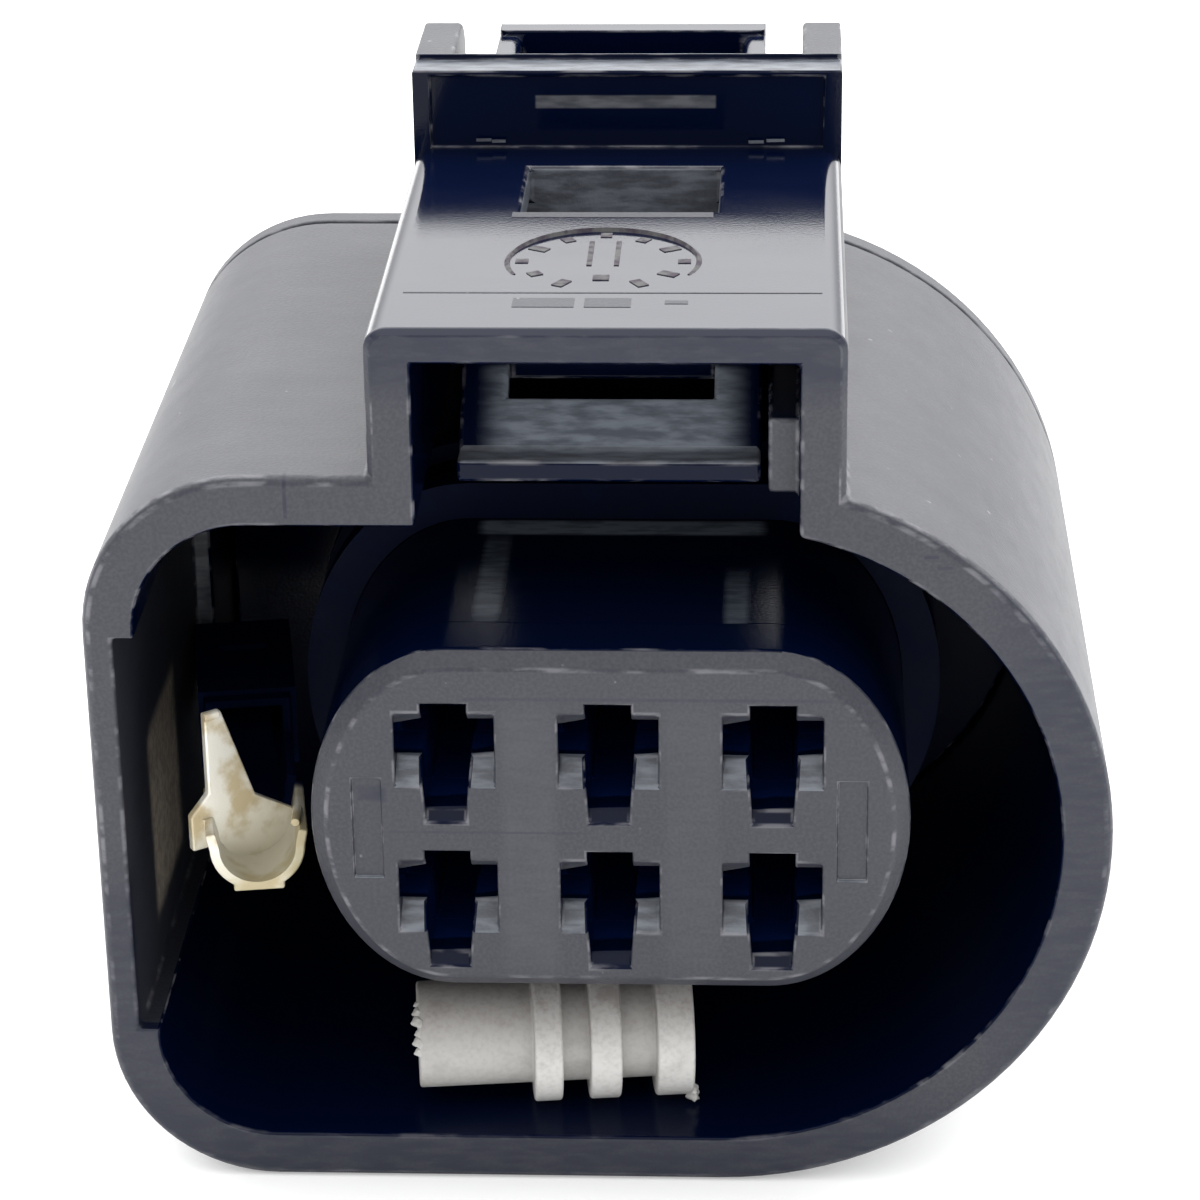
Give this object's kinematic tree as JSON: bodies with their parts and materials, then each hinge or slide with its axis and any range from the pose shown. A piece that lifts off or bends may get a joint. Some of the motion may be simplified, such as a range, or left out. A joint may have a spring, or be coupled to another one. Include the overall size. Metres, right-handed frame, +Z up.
{
  "type": "sealed automotive connector",
  "caption": "Sealed cable connector with an oval cavity block in a D-shaped collar, a latch guard with a rocking release lever, contacts, wire seals and loose kit parts in the collar.",
  "frame": {"origin": "middle of the cavity pattern on the retainer's front face", "axes": "+X to the right seen from the mating side, +Y into the connector towards the wires, +Z up towards the latch"},
  "size_m": [0.0316, 0.0362, 0.032],
  "materials": {
    "housing": "dark grey glass-filled plastic, moulded, half gloss inside the collar",
    "retainer": "dark grey moulded plastic, matte face",
    "lever": "dark grey moulded plastic, glossy ramp",
    "seal": "dark silicone rubber, slightly oily",
    "contact": "tin-plated copper alloy sheet",
    "spring_steel": "bright stainless spring sheet",
    "silicone": "matte light grey silicone rubber"
  },
  "bodies": {
    "housing": {"collar": "housing", "terminal_block": "housing", "interface_seal": "seal", "contact_1": "contact", "contact_2": "contact", "contact_3": "contact", "contact_4": "contact", "contact_5": "contact", "contact_6": "contact", "contact_spring_1": "spring_steel", "contact_spring_2": "spring_steel", "contact_spring_3": "spring_steel", "contact_spring_4": "spring_steel", "contact_spring_5": "spring_steel", "contact_spring_6": "spring_steel", "wire_seal_1": "silicone", "wire_seal_2": "silicone", "wire_seal_3": "silicone", "wire_seal_4": "silicone", "wire_seal_5": "silicone", "wire_seal_6": "silicone", "cavity_plug": "silicone", "loose_contact": "contact", "loose_contact_spring": "spring_steel"},
    "retainer": {"front_retainer": "retainer"},
    "lever": {"release_lever": "lever"}
  },
  "joints": [
    {"name": "lever_press", "type": "hinge", "parent": "housing", "child": "lever", "pos_m": [0, 0.0112, 0.0129], "axis": [-1, 0, 0], "range_deg": [0, 6], "stiffness_Nm_per_rad": 0.05, "springref_deg": -2.86},
    {"name": "retainer_slide", "type": "slide", "parent": "housing", "child": "retainer", "axis": [0, -1, 0], "range_m": [0, 0.002]}
  ]
}
